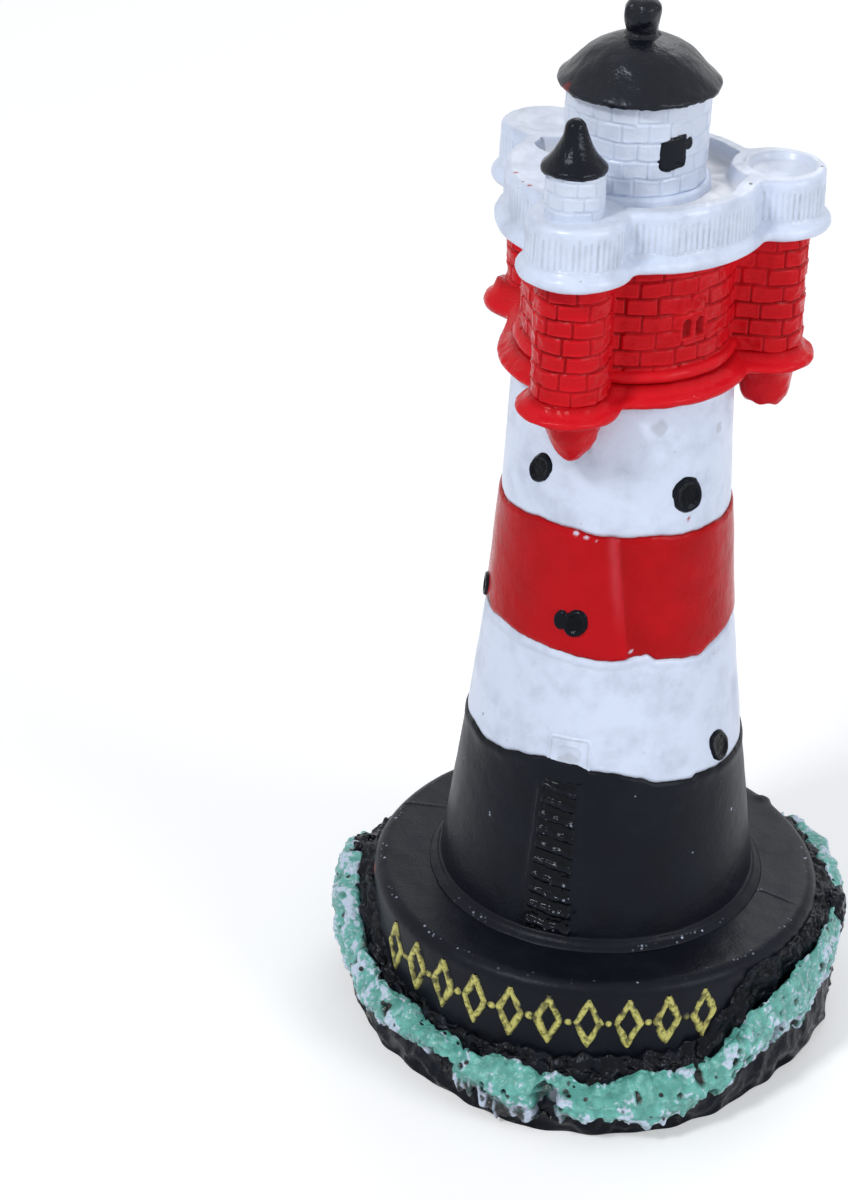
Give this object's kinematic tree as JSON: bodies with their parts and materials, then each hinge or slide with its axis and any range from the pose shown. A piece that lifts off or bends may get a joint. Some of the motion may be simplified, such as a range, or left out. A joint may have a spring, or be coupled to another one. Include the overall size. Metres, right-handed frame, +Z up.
{
  "type": "lighthouse figurine",
  "caption": "Hand-painted lighthouse ornament: banded tower on a round drum and a rock base with waves, brick storey with round oriels, parapet, turret, lantern and shallow roof.",
  "frame": {"origin": "Middle of the flat underside, on the tower's axis", "axes": "+Z up along the tower, -Y towards the pictured side, +X to that side's right"},
  "size_m": [0.0755, 0.0767, 0.1496],
  "materials": {
    "white_paint": "satin cool white paint on resin",
    "red_paint": "glossy red paint on resin",
    "black_paint": "satin charcoal black paint on resin",
    "gloss_black_paint": "glossy black paint on resin",
    "rock_paint": "rough black paint on moulded rock",
    "wave_paint": "turquoise paint dry-brushed with white on a rough crust",
    "yellow_paint": "olive yellow paint on raised marks"
  },
  "bodies": {
    "root": {"drum": "black_paint", "rock_base": "rock_paint", "crag_right": "rock_paint", "crag_rear": "rock_paint", "wave_collar": "wave_paint", "drum_ornament": "yellow_paint", "door_frame": "white_paint", "door_leaf": "white_paint", "porthole_1": "gloss_black_paint", "porthole_2": "gloss_black_paint", "porthole_3": "gloss_black_paint", "porthole_4": "gloss_black_paint", "porthole_5": "gloss_black_paint", "porthole_6": "gloss_black_paint", "porthole_7": "gloss_black_paint", "porthole_8": "gloss_black_paint", "lower_white_band": "white_paint", "red_band": "red_paint", "upper_white_band": "white_paint", "tower_base": "black_paint", "foot_ring": "black_paint", "ladder_panel": "black_paint", "ladder_rails": "gloss_black_paint", "ladder_rungs": "gloss_black_paint", "ledge": "red_paint", "corbel_front": "red_paint", "corbel_right": "red_paint", "corbel_rear": "red_paint", "storey_window": "red_paint", "storey_core": "red_paint", "oriel_front": "red_paint", "oriel_right": "red_paint", "oriel_rear": "red_paint", "foot_bead": "red_paint", "cornice": "white_paint", "deck": "white_paint", "parapet_front": "white_paint", "parapet_rear": "white_paint", "parapet_left": "white_paint", "oriel_parapet_front": "white_paint", "oriel_parapet_right": "white_paint", "oriel_parapet_rear": "white_paint", "oriel_floor_front": "white_paint", "oriel_floor_right": "white_paint", "oriel_floor_rear": "white_paint", "turret_wall": "white_paint", "turret_cap": "black_paint", "lantern_plinth": "white_paint", "lantern_window": "gloss_black_paint", "lantern_wall": "white_paint", "roof": "black_paint", "finial": "black_paint"}
  },
  "joints": []
}
